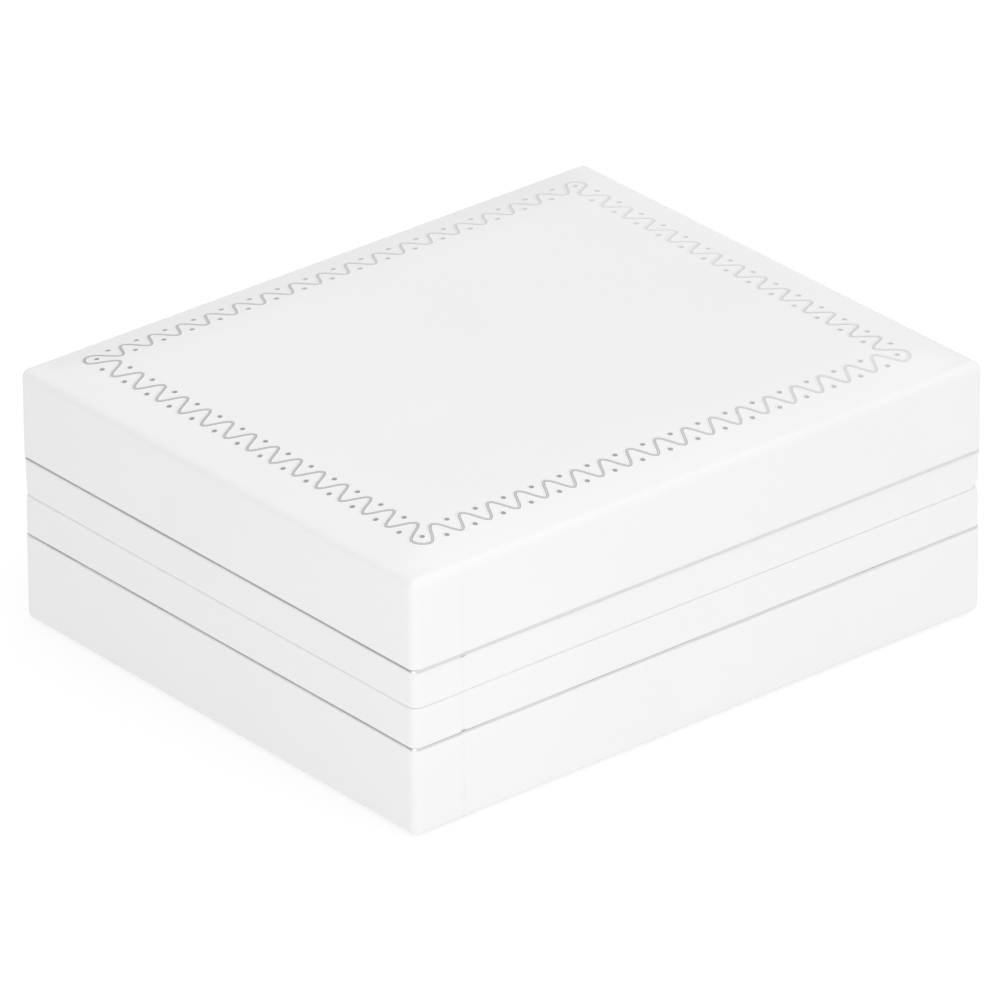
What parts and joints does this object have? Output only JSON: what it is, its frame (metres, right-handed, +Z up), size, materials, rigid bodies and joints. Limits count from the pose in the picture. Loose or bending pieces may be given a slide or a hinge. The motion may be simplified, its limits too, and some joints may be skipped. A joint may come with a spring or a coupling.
{
  "type": "jewelry gift box",
  "caption": "Small rectangular leatherette jewelry box with a hinged cushioned lid, silver foil trim, padded insert and satin lid pad.",
  "frame": {"origin": "centre of the flat bottom, where the box rests", "axes": "+X to the right along the long side as seen from the front, +Y from the front to the hinged back, +Z up"},
  "size_m": [0.096, 0.0811, 0.038],
  "materials": {
    "shell": "rigid moulded plastic, dull, hidden under the skin",
    "leatherette": "smooth white leatherette, soft sheen, very fine grain",
    "silver_foil": "thin hot-stamped silver foil",
    "bottom_paper": "white embossed paper sheet, dull",
    "velvet": "short white velvet pile",
    "satin": "smooth white satin with a soft sheen",
    "foam": "off-white open foam",
    "card": "plain grey-white card",
    "hinge_metal": "thin stamped nickel-plated steel",
    "spring_steel": "thin spring strip"
  },
  "bodies": {
    "base": {"base_shell": "shell", "base_wrap": "leatherette", "base_rim_strip": "leatherette", "base_trim_line": "silver_foil", "base_bottom_sheet": "bottom_paper", "base_lining": "velvet", "insert_card": "card", "insert_foam": "foam", "insert_velvet": "velvet", "insert_ribbon": "satin", "hinge_left_base_leaf": "hinge_metal", "hinge_right_base_leaf": "hinge_metal", "hinge_left_pin": "hinge_metal", "hinge_right_pin": "hinge_metal", "hinge_left_spring": "spring_steel", "hinge_right_spring": "spring_steel", "base_hinge_rivets": "hinge_metal"},
    "lid": {"lid_shell": "shell", "lid_wrap": "leatherette", "lid_top_foam": "foam", "lid_rim_strip": "leatherette", "lid_trim_line": "silver_foil", "lid_border_foil": "silver_foil", "lid_lining": "satin", "lid_pad_card": "card", "lid_pad_foam": "foam", "lid_pad_satin": "satin", "hinge_left_lid_leaf": "hinge_metal", "hinge_right_lid_leaf": "hinge_metal", "lid_hinge_rivets": "hinge_metal"}
  },
  "joints": [
    {"name": "lid_hinge", "type": "hinge", "parent": "base", "child": "lid", "pos_m": [0, 0.04, 0.0184], "axis": [-1, 0, 0], "range_deg": [0, 100]}
  ]
}
